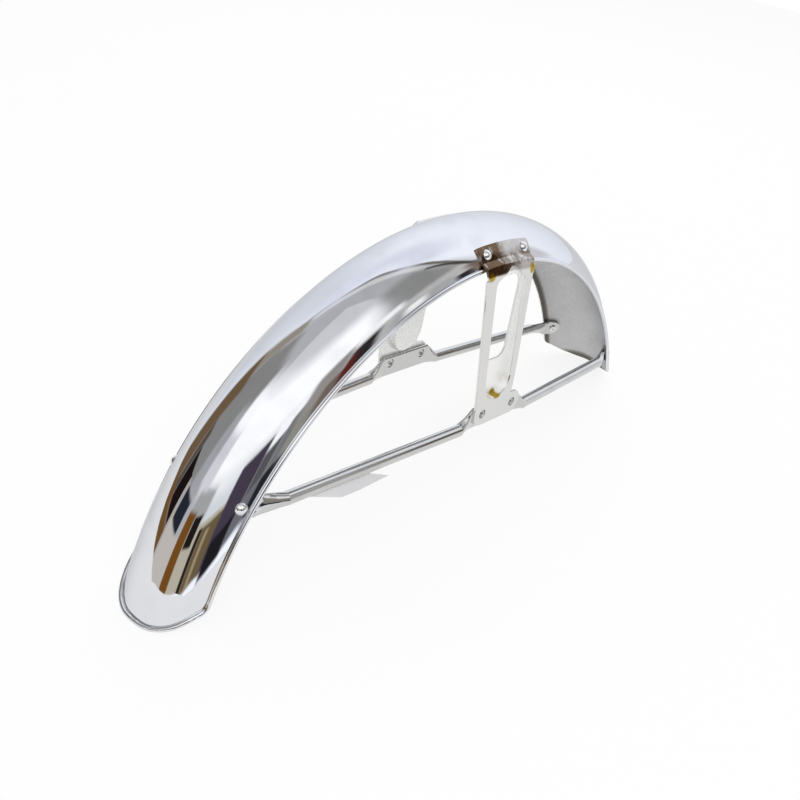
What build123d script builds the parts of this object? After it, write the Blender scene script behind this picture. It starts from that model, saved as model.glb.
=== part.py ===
"""Motorcycle front mudguard: a pressed steel blade, two riveted fork brackets, two stay tubes.

Millimetres. The part stands on its two tips on the floor: +X points to the short front end,
+Y to the left side, +Z up, and the origin is on the floor under the middle of the blade.
Most places are given round the wheel: an angle from straight above the wheel's centre, square to
the stay tubes, positive to the front, and a turn round the blade's section, from the crown to the right.
"""

from build123d import *
from build123d.topology import SkipClean
import os
from math import asin, atan2, copysign, cos, degrees, radians, sin, tan

os.makedirs("parts", exist_ok=True)

# Blade
crown_radius = 330.0  # wheel centre to the outside of the crown
section_radius = 45.0  # outside of the rounded section
section_half_turn = 66.5  # crown to lower edge, round the section
blade_sheet = 1.2
rear_angle = 80.0
front_angle = 68.5
rear_rounding = 36.0  # how far the rounding of an end runs back along the blade
front_rounding = 34.0
end_flat = 16.0  # straight middle of each end
bead_radius = 2.0  # rolled rim
bead_lift = 0.6  # centre of the bead above the outside of the sheet
bead_overhang = 0.5  # centre of the bead beyond the sheet's edge

# Fork brackets
bracket_sheet = 2.0
flange_width = 71.0
flange_top_turn = 43.0
flange_low_turn = 58.0
rim_clearance = 0.4  # between the rolled rim and the bracket
shoulder_drop = 4.8  # bend into the legs, below the middle of the rim
bend_radius = 1.6
leg_set_out = 3.4  # outside of a leg beyond the channel floor, at the rim
leg_top_drop = 10.0  # straight top of the legs, below the middle of the rim
mount_half_span = 58.0  # middle of the part to the outside of a bolt face
leg_bend_height = 20.0  # bend of the legs above the bolt line
channel_depth_low = 7.0  # depth of the pressed channel at that bend
channel_width = 42.0  # at its shoulders
channel_shift = 0.5  # middle of the channel from the flange's middle, to the front
channel_shoulder_rise = 122.0  # above the bolt line
channel_top_rise = 131.5
channel_corner_radius = 6.0
channel_foot_radius = 19.5
channel_foot_rise = 31.8  # middle of the rounded foot above the bolt line
channel_foot_shift = 9.5  # middle of the rounded foot behind the middle of the bolts
channel_draft = 16.0
window_top_radius = 11.5
window_top_rise = 116.5  # middles of the window's rounded corners above the bolt line
window_top_width = 36.0
window_top_shift = 1.5  # middle of the window, to the front
window_low_radius = 9.0
window_low_rise = 58.5
window_low_width = 28.0
window_low_shift = 6.0
shoulder_step = 2.5  # front leg's edge inside the flange's end
heel_overhang = 4.0  # rear leg's edge beyond its lug at the bend
waist_height = 34.0  # narrowest place of the front leg above the bolt line
waist_overlap = 6.0  # front bolt's middle beyond the front leg's edge there
lug_radius = 11.5

# Fork bolts
bolt_hole_radius = 4.5
bolt_spacing = 46.5
bolt_shift = 19.0  # middle of the bolts in front of the wheel centre
bolt_rise = 11.0  # bolt line above the stay tube

# Stay tubes
tube_radius = 5.5
band_height = 20.5  # flattened middle of the tube
band_sheet = 4.0
band_end_margin = 9.5  # flattened band beyond each bolt hole
band_transition = 17.0
band_drop = 3.25  # middle of the band below the bolts
ridge_radius = 3.9  # slimmer run of the tube along the inside of the band
ridge_rise = 1.2  # its middle above the round runs
tongue_width = 17.0  # flattened end of the tube
tongue_sheet = 3.0
tongue_gap = 0.3  # under the sheet, so that the tongue passes the bead
tongue_reach = 9.0  # rivet to the end of the flat tongue
tube_end_setback = 36.0  # rivet to the round tube
tube_end_half_span = 45.5

# Rivets
rivet_shank_radius = 2.5
rivet_head_radius = 4.8
rivet_head_height = 2.8
rivet_tail_radius = 3.7
rivet_tail_height = 1.7
rivet_bore_radius = 1.3
rivet_bore_depth = 1.4
bracket_rivet_turn = 52.5
bracket_rivet_spacing = 54.0
stay_rivet_turn = 57.0
stay_rivet_angle = 60.0

# Cable guide under the rear run of the right stay tube
guide_sheet = 1.5
guide_start = 22.0  # from the round tube's rear end
guide_length = 84.0
guide_root_length = 64.0  # length along the tube
guide_width = 9.5  # from the tube's surface
guide_shoulder = 30.0  # start of the guide to its widest place
guide_tip_width = 7.5
guide_tilt = 56.0  # below level, outwards

# Frame: the part leans so that both tips stand on the floor
lean = (rear_angle - front_angle) / 2
spine_radius = crown_radius - section_radius
bead_reach = section_radius + bead_lift
half_width = section_radius * sin(radians(section_half_turn))
bead_half_width = bead_reach * sin(radians(section_half_turn))
rim_radius = spine_radius + bead_reach * cos(radians(section_half_turn))
sheet_turn = section_half_turn - degrees(bead_overhang / section_radius)
flat_turn = degrees(asin(end_flat / 2 / section_radius))
ends = ((front_angle, front_rounding), (-rear_angle, rear_rounding))
rim_swings = (0, 22.5, 45, 67.5, 90)


def rim_place(end_angle, rounding, swing):
    """Angle and turn on an end's rim; the swing runs from the straight middle (0) to the side (90)."""
    across = end_flat / 2 + (half_width - end_flat / 2) * sin(radians(swing))
    set_back = rounding * (1 - cos(radians(swing)))
    angle = abs(end_angle) - degrees(set_back / crown_radius)
    return copysign(angle, end_angle), degrees(asin(across / section_radius))


def rim_height(swing):
    """Height of the rear end's rim above the wheel's centre."""
    angle, turn = rim_place(rear_angle, rear_rounding, swing)
    return (spine_radius + bead_reach * cos(radians(turn))) * cos(radians(angle - lean))


wheel_drop = min(rim_height(swing) for swing in range(90)) - bead_radius
forward = Vector(cos(radians(lean)), 0, -sin(radians(lean)))
upward = Vector(sin(radians(lean)), 0, cos(radians(lean)))
right = Vector(0, -1, 0)
wheel_centre = Vector(0, 0, -wheel_drop)
wheel_axis = Axis(wheel_centre, (0, 1, 0))


def radial(angle):
    """Direction from the wheel's centre."""
    return upward * cos(radians(angle)) + forward * sin(radians(angle))


def tangent(angle):
    """Direction along the blade, towards the front."""
    return forward * cos(radians(angle)) - upward * sin(radians(angle))


def section_normal(angle, turn):
    """Direction out of the blade's wall."""
    return radial(angle) * cos(radians(turn)) + right * sin(radians(turn))


def on_section(angle, turn, reach):
    """Point at a reach from the middle of the rounded section."""
    return wheel_centre + radial(angle) * spine_radius + section_normal(angle, turn) * reach


def at(along, height, side):
    """Point in the stays' own directions, from the wheel's centre: to the front, up, to the right."""
    return wheel_centre + forward * along + upward * height + right * side


def cross_plane(angle):
    """Plane across the blade: X to the right, Y away from the wheel's centre."""
    return Plane(origin=wheel_centre, x_dir=right, z_dir=right.cross(radial(angle)))


def draw_band(inner, outer, start_turn, end_turn):
    """Strip of the blade's section between two arcs."""
    with BuildLine() as outline:
        outside = CenterArc((0, spine_radius), outer, 90 - end_turn, end_turn - start_turn)
        inside = CenterArc((0, spine_radius), inner, 90 - end_turn, end_turn - start_turn)
        Line(outside @ 0, inside @ 0)
        Line(outside @ 1, inside @ 1)
    make_face(outline.edges())


def sagitta(radius, half_chord):
    """Fall of a round wall from its crown at half a chord."""
    return radius - (radius**2 - half_chord**2) ** 0.5


def rivet_seats(turn, angles, reach):
    """Planes at rivets on both sides, with their axes out of the blade's wall."""
    return [
        Plane(origin=on_section(angle, side * turn, reach), z_dir=section_normal(angle, side * turn))
        for side in (1, -1)
        for angle in angles
    ]


bracket_rivet_angle = degrees(
    asin(bracket_rivet_spacing / 2 / (spine_radius + section_radius * cos(radians(bracket_rivet_turn))))
)
bracket_rivet_angles = (-bracket_rivet_angle, bracket_rivet_angle)
stay_rivet_angles = (-stay_rivet_angle, stay_rivet_angle)

# Ends of the blade: rolled bead along the rounded rim, and the sheet that it bounds
end_pieces = []
for end_angle, rounding in ends:
    with BuildPart() as end_bead:
        for side in (1, -1):
            rim = []
            for swing in rim_swings:
                angle, turn = rim_place(end_angle, rounding, swing)
                rim.append(on_section(angle, side * turn, bead_reach))
            start = section_normal(end_angle, side * (flat_turn + 90))
            with BuildLine() as corner:
                Spline(*rim, tangents=(start, tangent(angle) * copysign(1, -end_angle)))
            with BuildSketch(Plane(rim[0], z_dir=start)):
                Circle(bead_radius)
            sweep(path=corner.wire())
        with BuildSketch(Plane(rim[0], z_dir=start)):
            Circle(bead_radius)
        revolve(axis=Axis(on_section(end_angle, 0, 0), tangent(end_angle)), revolution_arc=2 * flat_turn)
    with BuildPart() as end_sheet:
        with BuildSketch(cross_plane(min(angle, end_angle))):
            draw_band(section_radius - blade_sheet, section_radius, -sheet_turn, sheet_turn)
        revolve(axis=wheel_axis, revolution_arc=abs(end_angle - angle))
        add(end_bead.part, mode=Mode.SUBTRACT)
    end_pieces += [end_bead.part, end_sheet.solids().sort_by(SortBy.VOLUME)[-1]]

with BuildPart() as blade_holes:
    with Locations(
        *rivet_seats(bracket_rivet_turn, bracket_rivet_angles, section_radius),
        *rivet_seats(stay_rivet_turn, stay_rivet_angles, section_radius),
    ):
        Cylinder(rivet_shank_radius, 4 * blade_sheet)

# Mudguard blade: one rolled section between the two rounded ends
with BuildPart() as mudguard_blade:
    rear_corner = rim_place(-rear_angle, rear_rounding, 90)[0]
    front_corner = rim_place(front_angle, front_rounding, 90)[0]
    with BuildSketch(cross_plane(rear_corner)):
        draw_band(section_radius - blade_sheet, section_radius, -sheet_turn, sheet_turn)
        with Locations((bead_half_width, rim_radius), (-bead_half_width, rim_radius)):
            Circle(bead_radius)
    revolve(axis=wheel_axis, revolution_arc=front_corner - rear_corner)
    with SkipClean():
        add(end_pieces, clean=False)
        add(blade_holes.part, clean=False, mode=Mode.SUBTRACT)
mudguard_blade.part.label = "mudguard_blade"
export_step(mudguard_blade.part, "parts/mudguard_blade.step")

# Bracket places, in the stays' directions
stay_height = (spine_radius + section_radius * cos(radians(stay_rivet_turn))) * cos(radians(stay_rivet_angle))
bolt_height = stay_height + bolt_rise
bolt_places = (bolt_shift - bolt_spacing / 2, bolt_shift + bolt_spacing / 2)
flange_low_radius = spine_radius + section_radius * cos(radians(flange_low_turn))
flange_half_angle = degrees(flange_width / 2 / flange_low_radius)
half_sheet = bracket_sheet / 2
over_rim = bead_half_width + bead_radius + rim_clearance + half_sheet
over_rim_radius = rim_radius + bead_radius
shoulder_radius = rim_radius - shoulder_drop
floor_top_span = over_rim + half_sheet
leg_top_span = floor_top_span + leg_set_out
leg_top_height = rim_radius - leg_top_drop
legs_top = shoulder_radius * cos(radians(flange_half_angle)) - bracket_sheet
leg_bend = bolt_height + leg_bend_height
leg_slope = degrees(atan2(mount_half_span - leg_top_span, leg_top_height - leg_bend))
floor_slope = degrees(
    atan2(mount_half_span - channel_depth_low - floor_top_span, rim_radius - leg_bend)
)
foot_place = bolt_shift - channel_foot_shift
foot_height = bolt_height + channel_foot_rise


def sloped_plane(height, side, slope):
    """Plane of a leaning wall: X to the front, Y up the slope, Z out to the right."""
    outward = right * cos(radians(slope)) + upward * sin(radians(slope))
    return Plane(at(0, height, side), x_dir=forward, z_dir=outward)


leg_face = sloped_plane(leg_bend, mount_half_span, leg_slope)
channel_floor = sloped_plane(leg_bend, mount_half_span - channel_depth_low, floor_slope)
side_plane = Plane(wheel_centre, x_dir=forward, z_dir=right)
bolt_face = side_plane.offset(mount_half_span)
block_reach = 80.0


def draw_channel(growth):
    """Outline of the pressed channel on the legs' outside: rounded foot, shoulders, and a gable top."""
    half_width_inside = channel_width / 2 - channel_corner_radius
    shoulder = channel_shoulder_rise - leg_bend_height
    with Locations((foot_place, foot_height - leg_bend)):
        Circle(channel_foot_radius + growth)
    with Locations(
        (channel_shift - half_width_inside, shoulder),
        (channel_shift + half_width_inside, shoulder),
        (channel_shift, channel_top_rise - leg_bend_height),
    ):
        Circle(channel_corner_radius + growth)
    make_hull()


def draft_channel(growth, lift, floor):
    """Drafted block, from a lift over the legs' outside down to a floor."""
    with BuildPart() as block:
        with BuildSketch(leg_face.offset(lift)):
            draw_channel(growth + lift * tan(radians(channel_draft)))
        extrude(amount=-lift - channel_depth_low - 2 * bracket_sheet, taper=channel_draft)
        split(bisect_by=floor, keep=Keep.TOP)
    return block.part


# Legs of the right bracket: one bent strip, cut to its outline
with BuildPart() as bracket_legs:
    with BuildSketch(Plane(wheel_centre, x_dir=right, z_dir=right.cross(upward))):
        with BuildLine():
            face = Polyline(
                (leg_top_span - half_sheet, legs_top),
                (leg_top_span - half_sheet, leg_top_height),
                (mount_half_span - half_sheet, leg_bend),
                (mount_half_span - half_sheet, bolt_height - 2 * lug_radius),
            )
        trace(line_width=bracket_sheet)
        with Locations(*face.vertices()[1:3]):
            Circle(half_sheet)
    extrude(amount=block_reach, both=True)
    with BuildSketch(side_plane):
        with BuildLine():
            Polyline(
                (-flange_width / 2, legs_top),
                (flange_width / 2 - shoulder_step, legs_top),
                (bolt_places[1] - waist_overlap, bolt_height + waist_height),
                (bolt_places[1] - waist_overlap, bolt_height),
                (bolt_places[0] - lug_radius, bolt_height),
                (bolt_places[0] - lug_radius - heel_overhang, leg_bend),
                close=True,
            )
        make_face()
        with Locations((bolt_shift, bolt_height)):
            SlotCenterToCenter(bolt_spacing, 2 * lug_radius)
    extrude(amount=block_reach, mode=Mode.INTERSECT)

# Pressed channel: its sheet, kept under the flange's outside, and the hollow over it
with BuildPart() as channel_wall:
    add(draft_channel(bracket_sheet, 0, channel_floor.offset(-bracket_sheet)))
    split(bisect_by=bolt_face, keep=Keep.BOTTOM)
    with BuildSketch(cross_plane(-2 * flange_half_angle)):
        with BuildLine():
            Polyline(
                (0, bolt_height),
                (2 * mount_half_span, bolt_height),
                (2 * mount_half_span, leg_top_height),
                (leg_top_span, leg_top_height),
                (leg_top_span, shoulder_radius),
                (floor_top_span + half_sheet, rim_radius),
                (0, rim_radius),
                close=True,
            )
        make_face()
    revolve(axis=wheel_axis, revolution_arc=4 * flange_half_angle, mode=Mode.INTERSECT)

with BuildPart() as right_fork_bracket:
    with BuildSketch(cross_plane(-flange_half_angle)):
        draw_band(section_radius, section_radius + bracket_sheet, flange_top_turn, flange_low_turn)
        with BuildLine():
            foot = (
                (section_radius + half_sheet) * sin(radians(flange_low_turn)),
                spine_radius + (section_radius + half_sheet) * cos(radians(flange_low_turn)),
            )
            FilletPolyline(
                foot,
                (foot[0] + bracket_sheet * cos(radians(flange_low_turn)),
                 foot[1] - bracket_sheet * sin(radians(flange_low_turn))),
                (over_rim, over_rim_radius),
                (leg_top_span - half_sheet, shoulder_radius),
                (leg_top_span - half_sheet, leg_top_height),
                radius=bend_radius,
            )
        trace(line_width=bracket_sheet)
    revolve(axis=wheel_axis, revolution_arc=2 * flange_half_angle)
    add(bracket_legs.part)
    add(channel_wall.part)
    add(draft_channel(0, 2 * bracket_sheet, channel_floor), mode=Mode.SUBTRACT)
    with BuildSketch(side_plane):
        for radius, rise, width, shift in (
            (window_top_radius, window_top_rise, window_top_width, window_top_shift),
            (window_low_radius, window_low_rise, window_low_width, window_low_shift),
        ):
            half_gap = width / 2 - radius
            with Locations(
                (shift - half_gap, bolt_height + rise), (shift + half_gap, bolt_height + rise)
            ):
                Circle(radius)
        make_hull()
    extrude(amount=block_reach, mode=Mode.SUBTRACT)
    with BuildSketch(side_plane):
        with Locations(*[(place, bolt_height) for place in bolt_places]):
            Circle(bolt_hole_radius)
    extrude(amount=block_reach, mode=Mode.SUBTRACT)
    with Locations(*rivet_seats(bracket_rivet_turn, bracket_rivet_angles, section_radius)):
        Cylinder(rivet_shank_radius, 4 * bracket_sheet, mode=Mode.SUBTRACT)
right_fork_bracket.part.label = "right_fork_bracket"
export_step(right_fork_bracket.part, "parts/right_fork_bracket.step")

with BuildPart() as left_fork_bracket:
    mirror(right_fork_bracket.part, about=Plane.XZ)
left_fork_bracket.part.label = "left_fork_bracket"
export_step(left_fork_bracket.part, "parts/left_fork_bracket.step")

# Right stay tube: a flat tongue inside each end of the blade, round runs, and a flat band at the bolts
band_side = mount_half_span - bracket_sheet - band_sheet / 2
band_height_mid = bolt_height - band_drop
tongue_reach_out = section_radius - blade_sheet - tongue_gap
tongue_mid = tongue_reach_out - tongue_sheet / 2
tube_end_along = spine_radius + section_radius * cos(radians(stay_rivet_turn))
tube_end_along = tube_end_along * sin(radians(stay_rivet_angle)) - tube_end_setback


def band_end(end):
    """Distance along of the flat band's end, for the front (1) or rear (-1) run."""
    return bolt_places[max(end, 0)] + end * band_end_margin


def tongue_frame(end):
    """Plane on the tongue at its rivet: X along it towards the tube, Z out of the blade's wall."""
    angle = end * stay_rivet_angle
    normal = section_normal(angle, stay_rivet_turn)
    seat = on_section(angle, stay_rivet_turn, tongue_mid)
    run = at(end * tube_end_along, stay_height, tube_end_half_span) - seat
    along = (run - normal * run.dot(normal)).normalized()
    return Plane(seat, x_dir=along, z_dir=normal)


def run_ends(end):
    """Ends of a round run: at the tongue and at the flat band."""
    outer = at(end * tube_end_along, stay_height, tube_end_half_span)
    inner = at(band_end(end) + end * band_transition, stay_height, band_side)
    return outer, inner


tongues = []
for end in (1, -1):
    with BuildPart() as tongue:
        half_swing = degrees(2 * tongue_width / crown_radius)
        with BuildSketch(cross_plane(end * stay_rivet_angle - half_swing)):
            draw_band(tongue_reach_out - tongue_sheet, tongue_reach_out, 0, 90)
        revolve(axis=wheel_axis, revolution_arc=2 * half_swing)
        with BuildSketch(tongue_frame(end)):
            with Locations((tongue_reach / 2, 0)):
                SlotCenterToCenter(tongue_reach, tongue_width)
        extrude(amount=tongue_width, both=True, mode=Mode.INTERSECT)
    tongues.append(tongue.part)

with BuildPart() as right_stay_tube:
    add(tongues)
    for end in (1, -1):
        frame = tongue_frame(end)
        outer, inner = run_ends(end)
        run = (inner - outer).normalized()
        tongue_drop = sagitta(tongue_reach_out, tongue_width / 2) + tongue_gap
        tongue_end = frame.origin + frame.x_dir * tongue_reach - frame.z_dir * tongue_drop
        with BuildSketch(Plane(tongue_end, x_dir=frame.y_dir, z_dir=frame.x_dir)):
            SlotOverall(tongue_width, tongue_sheet)
        with BuildSketch(Plane(outer, x_dir=frame.y_dir, z_dir=run)):
            Circle(tube_radius)
        loft()
        with BuildSketch(Plane(outer, x_dir=frame.y_dir, z_dir=run)):
            Circle(tube_radius)
        extrude(amount=(inner - outer).length)
        with BuildSketch(Plane(inner, x_dir=upward, z_dir=run)):
            Circle(tube_radius)
        band_start = at(band_end(end), band_height_mid, band_side)
        with BuildSketch(Plane(band_start, x_dir=upward, z_dir=forward * -end)):
            SlotOverall(band_height, band_sheet)
        loft()
    with BuildSketch(Plane(at(band_end(-1), band_height_mid, band_side), x_dir=upward, z_dir=forward)):
        SlotOverall(band_height, band_sheet)
    extrude(amount=band_end(1) - band_end(-1))
    ridge_start, ridge_end = (run_ends(end)[1] + upward * ridge_rise for end in (-1, 1))
    with BuildSketch(Plane(ridge_start, x_dir=upward, z_dir=forward)):
        Circle(ridge_radius)
        with Locations((0, band_sheet / 2)):
            Rectangle(2 * ridge_radius, ridge_radius, align=(Align.CENTER, Align.MIN), mode=Mode.SUBTRACT)
    extrude(amount=(ridge_end - ridge_start).length)
    with BuildSketch(side_plane):
        with Locations(*[(place, bolt_height) for place in bolt_places]):
            Circle(bolt_hole_radius)
    extrude(amount=block_reach, mode=Mode.SUBTRACT)
    with Locations(*rivet_seats(stay_rivet_turn, stay_rivet_angles, tongue_mid)):
        Cylinder(rivet_shank_radius, 4 * tongue_sheet, mode=Mode.SUBTRACT)
right_stay_tube.part.label = "right_stay_tube"
export_step(right_stay_tube.part, "parts/right_stay_tube.step")

with BuildPart() as left_stay_tube:
    mirror(right_stay_tube.part, about=Plane.XZ)
left_stay_tube.part.label = "left_stay_tube"
export_step(left_stay_tube.part, "parts/left_stay_tube.step")


def make_rivet(head_seat, tail_seat):
    """One rivet on Z: domed head above its seat, shank, and a tail with a drilled end."""
    with BuildPart() as rivet:
        with BuildSketch(Plane.XZ):
            with BuildLine() as outline:
                Line((0, tail_seat), (0, head_seat + rivet_head_height))
                SagittaArc(
                    (0, head_seat + rivet_head_height),
                    (rivet_head_radius, head_seat),
                    rivet_head_height / 4,
                )
                Polyline(
                    (rivet_head_radius, head_seat),
                    (rivet_shank_radius, head_seat),
                    (rivet_shank_radius, tail_seat),
                    (rivet_tail_radius, tail_seat),
                    (rivet_tail_radius, tail_seat - rivet_tail_height),
                    (rivet_bore_radius, tail_seat - rivet_tail_height),
                    (rivet_bore_radius, tail_seat - rivet_tail_height + rivet_bore_depth),
                    (0, tail_seat - rivet_tail_height + rivet_bore_depth),
                    (0, tail_seat),
                )
            make_face(outline.edges())
        revolve(axis=Axis.Z)
    return rivet.part


bracket_rivet = make_rivet(
    bracket_sheet, -blade_sheet - sagitta(section_radius - blade_sheet, rivet_tail_radius)
)
with BuildPart() as bracket_rivets:
    with Locations(*rivet_seats(bracket_rivet_turn, bracket_rivet_angles, section_radius)):
        add(bracket_rivet)
bracket_rivets.part.label = "bracket_rivets"
export_step(bracket_rivets.part, "parts/bracket_rivets.step")

tongue_inside = tongue_reach_out - tongue_sheet
stay_rivet = make_rivet(0, tongue_inside - section_radius - sagitta(tongue_inside, rivet_tail_radius))
with BuildPart() as stay_rivets:
    with Locations(*rivet_seats(stay_rivet_turn, stay_rivet_angles, section_radius)):
        add(stay_rivet)
stay_rivets.part.label = "stay_rivets"
export_step(stay_rivets.part, "parts/stay_rivets.step")

# Cable guide: a leaf of sheet fixed along the underside of the right tube's rear run
tube_rear, tube_front = run_ends(-1)
guide_along = (tube_front - tube_rear).normalized()
guide_out = right * cos(radians(guide_tilt)) - upward * sin(radians(guide_tilt))
guide_out = (guide_out - guide_along * guide_out.dot(guide_along)).normalized()
with BuildPart() as cable_guide:
    guide_plane = Plane(
        tube_rear + guide_along * guide_start, x_dir=guide_along, z_dir=guide_along.cross(guide_out)
    )
    with BuildSketch(guide_plane):
        with BuildLine():
            Polyline(
                (0, 0),
                (0, tube_radius),
                (guide_shoulder, tube_radius + guide_width),
                (guide_length - guide_root_length + guide_shoulder, tube_radius + guide_width),
                (guide_length, tube_radius + guide_tip_width),
                (guide_root_length, tube_radius),
                (guide_root_length, 0),
                close=True,
            )
        make_face()
    extrude(amount=guide_sheet / 2, both=True)
    with BuildSketch(Plane(tube_rear, z_dir=guide_along)):
        Circle(tube_radius)
    extrude(amount=(tube_front - tube_rear).length, mode=Mode.SUBTRACT)
cable_guide.part.label = "cable_guide"
export_step(cable_guide.part, "parts/cable_guide.step")
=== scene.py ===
"""Looks of the chromed front mudguard: finishes, pale floor, studio surround and camera."""

import math

import bpy
from mathutils import Matrix, Vector

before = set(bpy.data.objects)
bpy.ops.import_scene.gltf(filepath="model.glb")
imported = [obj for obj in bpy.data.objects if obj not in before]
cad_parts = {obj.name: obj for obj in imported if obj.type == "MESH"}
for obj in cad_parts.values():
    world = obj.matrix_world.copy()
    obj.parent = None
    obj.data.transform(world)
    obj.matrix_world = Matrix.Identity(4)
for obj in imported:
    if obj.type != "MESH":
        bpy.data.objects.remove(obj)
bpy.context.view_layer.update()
scene = bpy.context.scene
scene.view_settings.view_transform = "Standard"

# Blade, in metres
WHEEL_DROP = 0.08749  # wheel's centre below the floor
SPINE_RADIUS = 0.285  # wheel's centre to the middle of the rounded section
WALL_MIDDLE_REACH = 0.0444  # middle of the sheet from the middle of the section
SECTION_RIM_SHADE = (math.radians(58.0), math.radians(64.0))  # fade of the painted shade along the rims of the inside, round the section
END_RIM_SHADE = (math.radians(72.6), math.radians(73.8))  # the same, round the wheel
EDGE_RADIUS = 0.0007  # broken edges of the small pieces

# Brackets, in metres: heights are above the wheel's centre, square to the stays
LEAN = math.radians(5.75)  # of the stays, down to the front
MOUNT_HALF_SPAN = 0.058
LEG_TOP_HALF_SPAN = 0.0496
LEG_BEND_HEIGHT = 0.1858
LEG_TOP_HEIGHT = 0.2932
SHOULDER_HEIGHT = 0.2975
OVER_RIM_HEIGHT = 0.3065
CHANNEL_SINK = (0.0004, 0.0016)  # depth under the legs where the channel starts and is whole

# Brown and yellow spots on the right bracket, in metres along the stay
YELLOW_SPOTS = (  # along, height and reach of the yellow spots; the first, at the foot of the leg, is a painted reflection
    (0.0135, 0.1805, 0.0052),
    (-0.0300, 0.2975, 0.0050),
    (0.0310, 0.2965, 0.0060),
)
SPOT_CORE = 0.5  # share of a spot's reach at full strength
SPOT_WOBBLE = 0.006
BLOTCH_SCALE = 170.0
STREAK_STRETCH = 0.3  # of the blotches, in height
BROWN_WANDER = 0.03
FLANGE_FADE = 0.001  # of the brown at the shoulder, in height
FLANGE_BROWN = (-0.012, 0.0, 1.0, 0.38)  # along from, to, and how brown it is at each
FLANGE_BLOTCH = (0.3, 0.5, 0.6, 1.0)  # blotch from, to, and how brown it is at each
BEND_BROWN = (0.003, 0.006, 1.0, 0.0)  # off the bend from, to, and how brown it is at each
BEND_BLOTCH = (0.3, 0.6, 0.1, 0.8)  # blotch from, to, and how brown it is at each

# Plating: linear colours and the size of its marks
CHROME_TINT = (0.735, 0.745, 0.775, 1)
CHROME_GLANCING_TINT = (0.7, 0.705, 0.715, 1)
LINING_TINT = (0.55, 0.55, 0.55, 1)
# painted shade along the edges of the arch's inside
PAINTED_RIM_SHADE = (0.16, 0.15, 0.13, 1)
BRACKET_TINT = (0.675, 0.67, 0.66, 1)
# painted light: the channel made paler than the legs
CHANNEL_PAINTED_LIGHT = (0.9, 0.9, 0.885, 1)
BROWN_TINT = (0.13, 0.08, 0.045, 1)
# yellow of the spots; at the foot of the leg it is a painted reflection
YELLOW_TINT = (0.38, 0.265, 0.012, 1)
CHANNEL_DULLING = 0.33  # roughness added in the channel
CHANNEL_METAL = 0.45
CLOUD_SCALE = 14.0
WIPE_SCALE = 55.0
MARK_LEVEL = 0.9  # colour of a wiped mark, as a share of the plating's
SPECK_SCALE = 1300.0
SPECK_SHARE = 0.6
PATCH_SCALE = 30.0
GRAIN_LEVELS = (0.75, 1.25)  # darkest and brightest grain, as a share of the plating's colour
GRAIN_ROUGHNESS = (0.42, 0.6)
BEVEL_SAMPLES = 6

# Floor, in metres: most of it lies behind the part
FLOOR_RADIUS = 2.2
FLOOR_MIDDLE = (1.228, 1.282, 0.0)
FLOOR_COLOUR = (0.95, 0.95, 0.955, 1)
FLOOR_ROUGHNESS = 0.9
FLOOR_WHITE_SHARE = 0.85  # the rest shows the shadow
WHITE = (1, 1, 1, 1)

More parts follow.
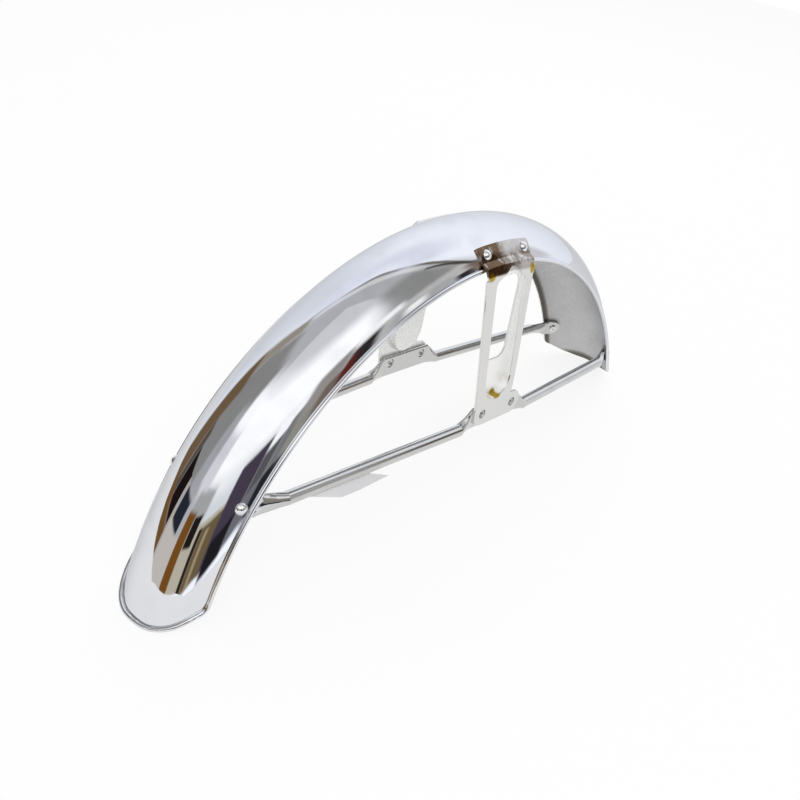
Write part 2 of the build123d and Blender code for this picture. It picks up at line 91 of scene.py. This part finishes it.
# Studio surround: angles in degrees, display colours
HALF_TURN = 180.0
SURROUND_RADIUS = 30.0
SURROUND_STRENGTH = 1.34
ROOM_COLOUR = (172, 172, 174)
BACKDROP_COLOUR = (238, 241, 247)
BACKDROP_MIDDLE = (35.0, 10.0)  # azimuth and elevation
BACKDROP_HALF_SIZE = (73.0, 62.0)
BACKDROP_POWER = 3.0  # rounds its corners
BACKDROP_EDGE = (0.98, 1.02)  # share of the half size
BACKDROP_RIMS = (
    # share of the half size, half width, display colour: a pale frame, a dark line inside it
    (1.07, 0.035, (206, 205, 202)),
    (1.005, 0.018, (98, 92, 84)),
)
FLAGS = (
    # azimuth from, to, elevation from, to, edge softness in degrees, display colour
    # ceiling, walls and the pale sheet in front
    (-180, 180, -92, -7, 2, (245, 248, 255)),
    (58, 100, -14, 62, 34, (210, 213, 219)),
    (-20, 90, 50, 68, 18, (216, 219, 231)),
    (-180, -62, 57, 92, 8, (200, 200, 203)),
    (-160, -130, 10, 26, 8, (208, 212, 214)),
    (-196, -69, 24, 60, 18, (255, 255, 255)),
    (-184, -158, 14, 25, 6, (158, 159, 158)),
    (-112, -95, 17, 28, 4, (246, 247, 248)),
    (-65, -36, 24, 64, 16, (138, 138, 135)),
    (-92, -36, -8, 30, 8, (184, 182, 178)),
    (-80, -62, 27, 35, 5, (246, 246, 246)),
    (99, 111, -6, 60, 6, (144, 136, 124)),
    (110, 152, 17, 50, 8, (130, 130, 127)),
    (114, 160, 45, 64, 10, (132, 130, 128)),
    (150, 170, 17, 46, 10, (158, 159, 162)),
    (166, 186, 24, 44, 6, (206, 206, 210)),
    (164, 184, 42, 56, 6, (250, 250, 252)),
    # shelves and boxes along the walls
    (-182, -132, -8, 13, 2, (178, 171, 154)),
    (-171, -160, 6, 16, 1.5, (30, 26, 24)),
    (-156, -151, -8, 11, 1.5, (40, 34, 26)),
    (-151, -132, -8, 11, 2, (104, 88, 64)),
    (-146, -142, -8, 9, 1.5, (150, 136, 106)),
    (-133, -112, -8, 24, 3, (66, 58, 72)),
    (-112, -101, 2, 17, 4, (86, 84, 86)),
    (-131, -112, -11, 1, 3, (30, 28, 32)),
    (-101, -93, 2, 21, 4, (114, 115, 116)),
    (-113, -100, -10, 3, 4, (106, 106, 112)),
    (-101, -86, -10, 2, 3, (36, 36, 42)),
    (-96, -80, 12, 31, 6, (144, 140, 136)),
    (-94, -80, 1, 14, 5, (138, 136, 126)),
    (-86, -75, 4, 17, 4, (112, 98, 88)),
    (-79, -69, 4, 24, 4, (44, 39, 40)),
    (-79, -75, 5, 20, 2, (92, 36, 32)),
    (-66, -46, 4, 22, 6, (166, 166, 165)),
    (-61, -55, 15, 21, 4, (240, 240, 238)),
    (-46, -40, 4, 17, 3, (44, 42, 42)),
    (-38.5, -36, 12, 52, 2, (66, 62, 58)),
    (-41, -30, 4, 24, 5, (112, 98, 88)),
    (-30, -17, 1, 16, 6, (202, 200, 202)),
    (99, 117, -8, 33, 5, (106, 86, 64)),
    (117, 125, 2, 22, 3, (84, 76, 68)),
    (125, 142, 3, 19, 1.5, (26, 18, 18)),
    (112, 146, -8, 3, 3, (108, 78, 44)),
    (142, 148, -8, 18, 2, (170, 164, 156)),
    (148, 167, 8, 18, 2, (34, 38, 48)),
    (145, 182, -8, 8, 2, (186, 180, 172)),
    (175, 188, -8, 17, 2, (112, 72, 28)),
)

# Light: metres and watts
WORLD_STRENGTH = 0.7  # for what it lights
LAMP_AIM = Vector((0, 0, 0.12))
LAMPS = (  # name, place, side, power
    ("key_lamp", (-1.2, -1.4, 2.2), 1.6, 22.0),
    ("fill_lamp", (1.6, 0.8, 2.0), 1.6, 12.0),
)

# Camera of the photograph
IMAGE_SIDE = 800
SENSOR = 36.0
FOCAL_PIXELS = 983.08
CAMERA_PLACE = Vector((-0.62742, -0.44198, 0.53981))
CAMERA_RIGHT = Vector((0.6536, -0.7462, 0.1267))
CAMERA_UP = Vector((0.3287, 0.4307, 0.8405))
CLIP_RANGE = (0.01, 100.0)


def srgb(red, green, blue):
    """Linear colour of a display colour from 0 to 255."""
    channels = []
    for value in (red, green, blue):
        value /= 255
        channels.append(value / 12.92 if value <= 0.04045 else ((value + 0.055) / 1.055) ** 2.4)
    return (*channels, 1.0)


def clear_selection():
    """Nothing selected and nothing active."""
    bpy.ops.object.select_all(action="DESELECT")
    bpy.context.view_layer.objects.active = None


class Sheet:
    """A node tree with short calls to add, set and link nodes."""

    def __init__(self, tree):
        self.tree = tree

    def feed(self, socket, value):
        """Links a socket, or sets a constant on it."""
        if isinstance(value, bpy.types.NodeSocket):
            self.tree.links.new(value, socket)
        else:
            socket.default_value = value

    def fill(self, node, inputs):
        """A node with its inputs fed: socket names with underscores, values or sockets."""
        for name, value in inputs.items():
            self.feed(node.inputs[name.replace("_", " ")], value)
        return node

    def add(self, kind, **inputs):
        """A node of a kind."""
        return self.fill(self.tree.nodes.new(kind), inputs)

    def group(self, tree, **inputs):
        """A placed node group."""
        node = self.tree.nodes.new("ShaderNodeGroup")
        node.node_tree = tree
        return self.fill(node, inputs)

    def show(self, shader):
        """Links a shader to the material's output."""
        output = self.add("ShaderNodeOutputMaterial")
        self.feed(output.inputs["Surface"], shader.outputs[0])

    def math(self, operation, *values):
        """Result of a Math node."""
        node = self.tree.nodes.new("ShaderNodeMath")
        node.operation = operation
        for index, value in enumerate(values):
            self.feed(node.inputs[index], value)
        return node.outputs[0]

    def distance(self, first, second):
        """Length of two steps at right angles."""
        squares = [self.math("POWER", step, 2.0) for step in (first, second)]
        return self.math("SQRT", self.math("ADD", *squares))

    def apart(self, azimuth, middle):
        """Degrees between two azimuths, the short way round."""
        turn = self.math("SUBTRACT", azimuth, middle)
        return self.math("ABSOLUTE", self.math("WRAP", turn, HALF_TURN, -HALF_TURN))

    def ramp(self, value, low, high, start=0.0, end=1.0):
        """Value mapped smoothly from one range to another and clamped."""
        node = self.tree.nodes.new("ShaderNodeMapRange")
        node.interpolation_type = "SMOOTHSTEP"
        for index, item in enumerate((value, low, high, start, end)):
            self.feed(node.inputs[index], item)
        return node.outputs[0]

    def mix(self, factor, first, second):
        """Mix of two colours."""
        node = self.tree.nodes.new("ShaderNodeMix")
        node.data_type = "RGBA"
        self.feed(node.inputs[0], factor)
        self.feed(node.inputs[6], first)
        self.feed(node.inputs[7], second)
        return node.outputs[2]

    def mix_values(self, factor, first, second):
        """Mix of two plain values."""
        node = self.tree.nodes.new("ShaderNodeMix")
        self.feed(node.inputs[0], factor)
        self.feed(node.inputs[2], first)
        self.feed(node.inputs[3], second)
        return node.outputs[0]

    def level(self, colour, share):
        """A colour made darker or brighter."""
        shade = self.mix(1.0, colour, (share, share, share, 1))
        shade.node.blend_type = "MULTIPLY"
        return shade

    def noise(self, place, scale, detail):
        """Noise from 0 to 1 on a place."""
        node = self.add("ShaderNodeTexNoise", Vector=place, Scale=scale, Detail=detail)
        return node.outputs[0]

    def sway(self, noise, width):
        """Noise turned into a shift to both sides."""
        return self.math("MULTIPLY", self.math("SUBTRACT", noise, 0.5), width)

    def seen_directly(self):
        """1 for what the camera sees, straight, mirrored or through glass."""
        rays = self.add("ShaderNodeLightPath").outputs
        mirrored = self.math("MAXIMUM", rays["Is Glossy Ray"], rays["Is Transmission Ray"])
        return self.math("MAXIMUM", rays["Is Camera Ray"], mirrored)


def new_group(name, inputs, outputs):
    """An empty shader node group; returns its tree, sheet, input sockets and output sockets."""
    tree = bpy.data.node_groups.new(name, "ShaderNodeTree")
    for label, kind, value in inputs:
        socket = tree.interface.new_socket(name=label, in_out="INPUT", socket_type=kind)
        if value is not None:
            socket.default_value = value
    for label, kind in outputs:
        tree.interface.new_socket(name=label, in_out="OUTPUT", socket_type=kind)
    sheet = Sheet(tree)
    given = sheet.add("NodeGroupInput").outputs
    result = sheet.add("NodeGroupOutput").inputs
    return tree, sheet, given, result


def new_material(name):
    """An empty material and its sheet."""
    material = bpy.data.materials.new(name)
    material.use_nodes = True
    material.node_tree.nodes.clear()
    return material, Sheet(material.node_tree)


def new_finish(name):
    """A piece's material; returns it, its sheet, Principled BSDF and Object coordinates."""
    material, sheet = new_material(name)
    surface = sheet.add("ShaderNodeBsdfPrincipled")
    sheet.show(surface)
    return material, sheet, surface, sheet.add("ShaderNodeTexCoord").outputs["Object"]


# Shared effects

# Polished plating: faint cloudiness in colour and gloss
polish_tree, sheet, given, result = new_group(
    "polish_haze",
    (
        ("Place", "NodeSocketVector", None),
        ("Tint", "NodeSocketColor", (0.8, 0.8, 0.82, 1)),
        ("Gloss", "NodeSocketFloat", 0.04),
        ("Haze", "NodeSocketFloat", 0.03),
    ),
    (("Color", "NodeSocketColor"), ("Roughness", "NodeSocketFloat")),
)
cloud = sheet.ramp(sheet.noise(given["Place"], CLOUD_SCALE, 4.0), 0.42, 0.72)
wipe = sheet.ramp(sheet.noise(given["Place"], WIPE_SCALE, 2.0), 0.3, 0.7)
mark = sheet.math("MULTIPLY", cloud, wipe)
marked = sheet.level(given["Tint"], MARK_LEVEL)
sheet.feed(result["Color"], sheet.mix(mark, given["Tint"], marked))
haze = sheet.math("MULTIPLY", mark, given["Haze"])
sheet.feed(result["Roughness"], sheet.math("ADD", given["Gloss"], haze))

# Inside of the arch: 1 on the wall that faces the wheel, and 1 on the painted shade along its edges
inside_tree, sheet, given, result = new_group(
    "inside_of_arch",
    (("Place", "NodeSocketVector", None),),
    (("Mask", "NodeSocketFloat"), ("Painted shade", "NodeSocketFloat")),
)
axes = sheet.add("ShaderNodeSeparateXYZ", Vector=given["Place"]).outputs
raised = sheet.math("ADD", axes["Z"], WHEEL_DROP)
depth = sheet.math("SUBTRACT", sheet.distance(axes["X"], raised), SPINE_RADIUS)
reach = sheet.distance(depth, axes["Y"])
sheet.feed(result["Mask"], sheet.math("LESS_THAN", reach, WALL_MIDDLE_REACH))
section_turn = sheet.math("ARCTAN2", sheet.math("ABSOLUTE", axes["Y"]), depth)
wheel_turn = sheet.math("ABSOLUTE", sheet.math("ARCTAN2", axes["X"], raised))
side_shade = sheet.ramp(section_turn, *SECTION_RIM_SHADE)
end_shade = sheet.ramp(wheel_turn, *END_RIM_SHADE)
sheet.feed(result["Painted shade"], sheet.math("MAXIMUM", side_shade, end_shade))

# Unpolished plating: dull grain
grain_tree, sheet, given, result = new_group(
    "dull_grain",
    (("Place", "NodeSocketVector", None), ("Tint", "NodeSocketColor", (0.4, 0.4, 0.42, 1))),
    (("Color", "NodeSocketColor"), ("Roughness", "NodeSocketFloat")),
)
speck = sheet.noise(given["Place"], SPECK_SCALE, 2.0)
patch = sheet.noise(given["Place"], PATCH_SCALE, 3.0)
shade = sheet.math(
    "ADD",
    sheet.math("MULTIPLY", speck, SPECK_SHARE),
    sheet.math("MULTIPLY", patch, 1.0 - SPECK_SHARE),
)
dark, bright = (sheet.level(given["Tint"], share) for share in GRAIN_LEVELS)
sheet.feed(result["Color"], sheet.mix(sheet.ramp(shade, 0.3, 0.7), dark, bright))
sheet.feed(result["Roughness"], sheet.ramp(patch, 0.2, 0.8, *GRAIN_ROUGHNESS))

# Pressed bracket: where its channel lies, where the right one is brown at its shoulder and bend,
# and its yellow spots, the one at the foot a painted reflection
press_tree, sheet, given, result = new_group(
    "pressed_bracket",
    (("Place", "NodeSocketVector", None),),
    (
        ("Channel", "NodeSocketFloat"),
        ("Brown", "NodeSocketFloat"),
        ("Yellow", "NodeSocketFloat"),
    ),
)
axes = sheet.add("ShaderNodeSeparateXYZ", Vector=given["Place"]).outputs
side = sheet.math("ABSOLUTE", axes["Y"])
raised = sheet.math("ADD", axes["Z"], WHEEL_DROP)
height = sheet.math(
    "ADD",
    sheet.math("MULTIPLY", axes["X"], math.sin(LEAN)),
    sheet.math("MULTIPLY", raised, math.cos(LEAN)),
)
along = sheet.math(
    "SUBTRACT",
    sheet.math("MULTIPLY", axes["X"], math.cos(LEAN)),
    sheet.math("MULTIPLY", raised, math.sin(LEAN)),
)
leg_side = sheet.ramp(height, LEG_BEND_HEIGHT, LEG_TOP_HEIGHT, MOUNT_HALF_SPAN, LEG_TOP_HALF_SPAN)
leg_side.node.interpolation_type = "LINEAR"
sunk = sheet.ramp(sheet.math("SUBTRACT", leg_side, side), *CHANNEL_SINK)
under_flange = sheet.math("LESS_THAN", height, SHOULDER_HEIGHT)
sheet.feed(result["Channel"], sheet.math("MULTIPLY", sunk, under_flange))

stretched = sheet.math("MULTIPLY", height, STREAK_STRETCH)
streak_place = sheet.add("ShaderNodeCombineXYZ", X=along, Y=stretched, Z=side)
blotch = sheet.noise(streak_place.outputs[0], BLOTCH_SCALE, 2.0)
right_side = sheet.math("LESS_THAN", axes["Y"], 0.0)
wander = sheet.math("ADD", along, sheet.sway(blotch, BROWN_WANDER))
on_flange = sheet.ramp(height, SHOULDER_HEIGHT - FLANGE_FADE, SHOULDER_HEIGHT + FLANGE_FADE)
flange_brown = sheet.math("MULTIPLY", on_flange, sheet.ramp(wander, *FLANGE_BROWN))
flange_brown = sheet.math("MULTIPLY", flange_brown, sheet.ramp(blotch, *FLANGE_BLOTCH))
off_bend = sheet.math("ABSOLUTE", sheet.math("SUBTRACT", height, OVER_RIM_HEIGHT))
bend_brown = sheet.math(
    "MULTIPLY", sheet.ramp(off_bend, *BEND_BROWN), sheet.ramp(blotch, *BEND_BLOTCH)
)
brown = sheet.math("MAXIMUM", flange_brown, bend_brown)
sheet.feed(result["Brown"], sheet.math("MULTIPLY", right_side, brown))
# yellow spots; the one at the foot of the leg is a painted reflection
yellow = 0.0
for spot_along, spot_height, spot_reach in YELLOW_SPOTS:
    gap = sheet.distance(
        sheet.math("SUBTRACT", along, spot_along), sheet.math("SUBTRACT", height, spot_height)
    )
    gap = sheet.math("ADD", gap, sheet.sway(blotch, SPOT_WOBBLE))
    spot = sheet.ramp(gap, spot_reach * SPOT_CORE, spot_reach, 1.0, 0.0)
    yellow = sheet.math("MAXIMUM", yellow, spot)
sheet.feed(result["Yellow"], sheet.math("MULTIPLY", right_side, yellow))


# Finishes
def soften_edges(sheet, surface):
    """Shading as if the sharp edges of a pressed or cut piece were broken."""
    worn_edge = sheet.add("ShaderNodeBevel", Radius=EDGE_RADIUS)
    worn_edge.samples = BEVEL_SAMPLES
    sheet.feed(surface.inputs["Normal"], worn_edge.outputs[0])


def chrome_blade():
    """Mirror chrome outside, dull plating inside with painted shade along its edges."""
    material, sheet, surface, place = new_finish("chrome_blade_finish")
    polish = sheet.group(polish_tree, Place=place, Tint=CHROME_TINT, Gloss=0.03, Haze=0.03).outputs
    grain = sheet.group(grain_tree, Place=place, Tint=LINING_TINT).outputs
    arch = sheet.group(inside_tree, Place=place).outputs
    # painted shade darkens the inside along its edges
    lining = sheet.mix(arch["Painted shade"], grain["Color"], PAINTED_RIM_SHADE)
    colour = sheet.mix(arch["Mask"], polish["Color"], lining)
    roughness = sheet.mix_values(arch["Mask"], polish["Roughness"], grain["Roughness"])
    sheet.feed(surface.inputs["Base Color"], colour)
    sheet.feed(surface.inputs["Roughness"], roughness)
    surface.inputs["Metallic"].default_value = 1.0
    surface.inputs["Specular Tint"].default_value = CHROME_GLANCING_TINT
    return material


def plated(name, tint, gloss, haze, metal=1.0):
    """Plating on a small piece; less metal makes it paler and duller."""
    material, sheet, surface, place = new_finish(name)
    polish = sheet.group(polish_tree, Place=place, Tint=tint, Gloss=gloss, Haze=haze).outputs
    sheet.feed(surface.inputs["Base Color"], polish["Color"])
    sheet.feed(surface.inputs["Roughness"], polish["Roughness"])
    surface.inputs["Metallic"].default_value = metal
    soften_edges(sheet, surface)
    return material


def plated_bracket():
    """Plating on the pressed brackets: duller in the channel, with painted light making it paler
    there; the right one brown at its shoulder and bend, with yellow spots, the one at the foot a
    painted reflection.
    """
    material, sheet, surface, place = new_finish("plated_bracket_finish")
    polish = sheet.group(polish_tree, Place=place, Tint=BRACKET_TINT, Gloss=0.05, Haze=0.05).outputs
    press = sheet.group(press_tree, Place=place).outputs
    # painted light: paler colour in the channel
    plating = sheet.mix(press["Channel"], polish["Color"], CHANNEL_PAINTED_LIGHT)
    browned = sheet.mix(press["Brown"], plating, BROWN_TINT)
    # painted reflection: the yellow spot at the foot of the leg
    spotted = sheet.mix(press["Yellow"], browned, YELLOW_TINT)
    dulling = sheet.math("MULTIPLY", press["Channel"], CHANNEL_DULLING)
    roughness = sheet.math("ADD", polish["Roughness"], dulling)
    metal = sheet.ramp(press["Channel"], 0.0, 1.0, 1.0, CHANNEL_METAL)
    sheet.feed(surface.inputs["Base Color"], spotted)
    sheet.feed(surface.inputs["Roughness"], roughness)
    sheet.feed(surface.inputs["Metallic"], metal)
    soften_edges(sheet, surface)
    return material


bracket_finish = plated_bracket()
tube_finish = plated("plated_tube_finish", tint=(0.57, 0.57, 0.565, 1), gloss=0.1, haze=0.08)
guide_finish = plated(
    "plated_guide_finish", tint=(0.86, 0.86, 0.88, 1), gloss=0.25, haze=0.1, metal=0.35
)
rivet_finish = plated("plated_rivet_finish", tint=(0.75, 0.75, 0.76, 1), gloss=0.06, haze=0.06)
finishes = {
    "mudguard_blade": chrome_blade(),
    "right_fork_bracket": bracket_finish,
    "left_fork_bracket": bracket_finish,
    "right_stay_tube": tube_finish,
    "left_stay_tube": tube_finish,
    "cable_guide": guide_finish,
    "bracket_rivets": rivet_finish,
    "stay_rivets": rivet_finish,
}
for node_name, finish in finishes.items():
    for material_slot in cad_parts[node_name].material_slots:
        material_slot.material = finish

# Floor: white to the camera, but for its share of shadow
clear_selection()
bpy.ops.mesh.primitive_circle_add(
    vertices=96, radius=FLOOR_RADIUS, fill_type="NGON", location=FLOOR_MIDDLE
)
floor = bpy.context.object
floor.name = "studio_floor"
floor_paint, sheet = new_material("studio_floor_paint")
matt = sheet.add("ShaderNodeBsdfPrincipled", Base_Color=FLOOR_COLOUR, Roughness=FLOOR_ROUGHNESS)
white = sheet.add("ShaderNodeEmission", Color=WHITE, Strength=1.0)
white_share = sheet.math("MULTIPLY", sheet.seen_directly(), FLOOR_WHITE_SHARE)
blend = sheet.add("ShaderNodeMixShader", Fac=white_share)
sheet.feed(blend.inputs[1], matt.outputs[0])
sheet.feed(blend.inputs[2], white.outputs[0])
sheet.show(blend)
floor.data.materials.append(floor_paint)

# Studio surround: painted flags and walls far round the part, which only the metal shows
flag_tree, sheet, given, result = new_group(
    "surround_flag",
    (
        ("Azimuth", "NodeSocketFloat", 0.0),
        ("Elevation", "NodeSocketFloat", 0.0),
        ("Middle", "NodeSocketFloat", 0.0),
        ("Half width", "NodeSocketFloat", 10.0),
        ("Low", "NodeSocketFloat", 0.0),
        ("High", "NodeSocketFloat", 10.0),
        ("Edge", "NodeSocketFloat", 2.0),
    ),
    (("Mask", "NodeSocketFloat"),),
)
half_edge = sheet.math("MULTIPLY", given["Edge"], 0.5)


def past(value, limit):
    """From 0 to 1 where a value passes a limit, over the flag's soft edge."""
    before = sheet.math("SUBTRACT", limit, half_edge)
    return sheet.ramp(value, before, sheet.math("ADD", limit, half_edge))


within = sheet.math(
    "SUBTRACT", 1.0, past(sheet.apart(given["Azimuth"], given["Middle"]), given["Half width"])
)
above = past(given["Elevation"], given["Low"])
below = sheet.math("SUBTRACT", 1.0, past(given["Elevation"], given["High"]))
sheet.feed(result["Mask"], sheet.math("MULTIPLY", within, sheet.math("MULTIPLY", above, below)))

clear_selection()
bpy.ops.mesh.primitive_uv_sphere_add(
    segments=96, ring_count=48, radius=SURROUND_RADIUS, location=(0, 0, 0)
)
surround = bpy.context.object
surround.name = "studio_surround"
bpy.ops.object.shade_smooth()
surround_paint, sheet = new_material("studio_surround_paint")
place = sheet.add("ShaderNodeTexCoord").outputs["Object"]
direction = sheet.add("ShaderNodeVectorMath", Vector=place)
direction.operation = "NORMALIZE"
axes = sheet.add("ShaderNodeSeparateXYZ", Vector=direction.outputs[0]).outputs
azimuth = sheet.math("DEGREES", sheet.math("ARCTAN2", axes["Y"], axes["X"]))
elevation = sheet.math("DEGREES", sheet.math("ARCSINE", axes["Z"]))
offsets = (
    sheet.apart(azimuth, BACKDROP_MIDDLE[0]),
    sheet.math("ABSOLUTE", sheet.math("SUBTRACT", elevation, BACKDROP_MIDDLE[1])),
)
shares = [
    sheet.math("POWER", sheet.math("DIVIDE", offset, half_size), BACKDROP_POWER)
    for offset, half_size in zip(offsets, BACKDROP_HALF_SIZE)
]
reach = sheet.math("POWER", sheet.math("ADD", *shares), 1.0 / BACKDROP_POWER)
off_backdrop = sheet.ramp(reach, *BACKDROP_EDGE)
colour = sheet.mix(off_backdrop, srgb(*BACKDROP_COLOUR), srgb(*ROOM_COLOUR))
for rim_reach, rim_half_width, rim_colour in BACKDROP_RIMS:
    off_rim = sheet.math("ABSOLUTE", sheet.math("SUBTRACT", reach, rim_reach))
    rim_mask = sheet.ramp(off_rim, 0.5 * rim_half_width, 1.5 * rim_half_width, 1.0, 0.0)
    colour = sheet.mix(rim_mask, colour, srgb(*rim_colour))
for start, end, low, high, edge, display in FLAGS:
    flag = sheet.group(
        flag_tree,
        Azimuth=azimuth,
        Elevation=elevation,
        Middle=(start + end) / 2,
        Half_width=(end - start) / 2,
        Low=low,
        High=high,
        Edge=edge,
    )
    colour = sheet.mix(flag.outputs["Mask"], colour, srgb(*display))
sheet.show(sheet.add("ShaderNodeEmission", Color=colour, Strength=SURROUND_STRENGTH))
surround.data.materials.append(surround_paint)
surround.visible_camera = False
surround.visible_diffuse = False
surround.visible_transmission = False
surround.visible_shadow = False

# Light: white world behind everything, softer for what it lights, and two broad lamps
world = bpy.data.worlds.new("studio_world")
scene.world = world
world.use_nodes = True
world.node_tree.nodes.clear()
sheet = Sheet(world.node_tree)
strength = sheet.ramp(sheet.seen_directly(), 0.0, 1.0, WORLD_STRENGTH, 1.0)
backdrop = sheet.add("ShaderNodeBackground", Color=WHITE, Strength=strength)
sheet.add("ShaderNodeOutputWorld", Surface=backdrop.outputs[0])

for lamp_name, lamp_place, lamp_side, lamp_power in LAMPS:
    clear_selection()
    bpy.ops.object.light_add(type="AREA", location=lamp_place)
    lamp = bpy.context.object
    lamp.name = lamp_name
    lamp.data.size = lamp_side
    lamp.data.energy = lamp_power
    lamp.rotation_euler = (LAMP_AIM - Vector(lamp_place)).to_track_quat("-Z", "Y").to_euler()
    lamp.visible_glossy = False

# Camera
camera_data = bpy.data.cameras.new("photo_camera")
camera = bpy.data.objects.new("photo_camera", camera_data)
scene.collection.objects.link(camera)
camera_data.sensor_width = SENSOR
camera_data.lens = FOCAL_PIXELS / IMAGE_SIDE * SENSOR
camera_data.clip_start, camera_data.clip_end = CLIP_RANGE
right = CAMERA_RIGHT.normalized()
up = (CAMERA_UP - right * CAMERA_UP.dot(right)).normalized()
turn = Matrix((right, up, right.cross(up))).transposed()
camera.matrix_world = Matrix.Translation(CAMERA_PLACE) @ turn.to_4x4()
scene.camera = camera
